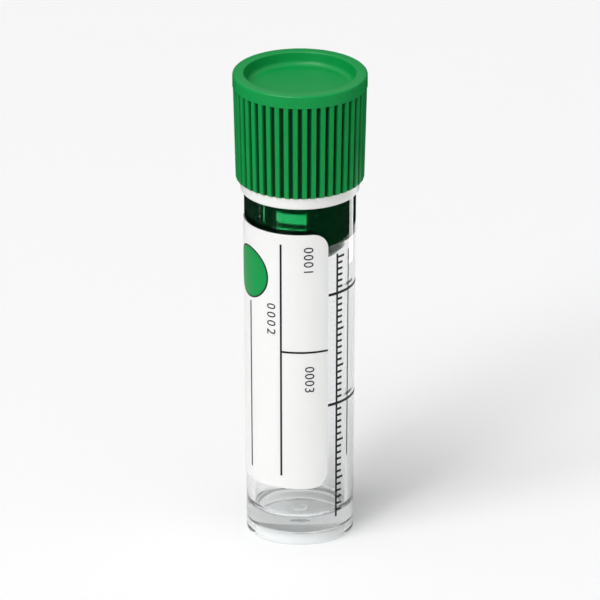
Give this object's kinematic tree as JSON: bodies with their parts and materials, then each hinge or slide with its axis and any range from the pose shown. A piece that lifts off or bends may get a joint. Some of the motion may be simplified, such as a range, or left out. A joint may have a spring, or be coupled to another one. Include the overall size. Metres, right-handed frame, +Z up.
{
  "type": "blood collection tube",
  "caption": "Small clear sample tube with a drafted flat-footed body, wrapped paper label and a pull-off ribbed cap with a rubber stopper.",
  "frame": {"origin": "middle of the foot that the tube stands on", "axes": "+Z up along the tube's axis towards the cap; the label faces -Y, its graduated edge towards +X"},
  "size_m": [0.016, 0.016, 0.058],
  "materials": {
    "clear_plastic": "clear, glossy moulded polystyrene",
    "white_plastic": "satin moulded polyethylene",
    "label_paper": "smooth coated paper",
    "green_plastic": "satin moulded polyethylene",
    "stopper_rubber": "smooth dark rubber"
  },
  "bodies": {
    "tube": {"sample_tube": "clear_plastic", "neck_ring": "white_plastic", "paper_label": "label_paper"},
    "closure": {"ribbed_cap": "green_plastic", "rubber_stopper": "stopper_rubber"}
  },
  "joints": [
    {"name": "cap_pull", "type": "slide", "parent": "tube", "child": "closure", "axis": [0, 0, 1], "range_m": [0, 0.022]}
  ]
}
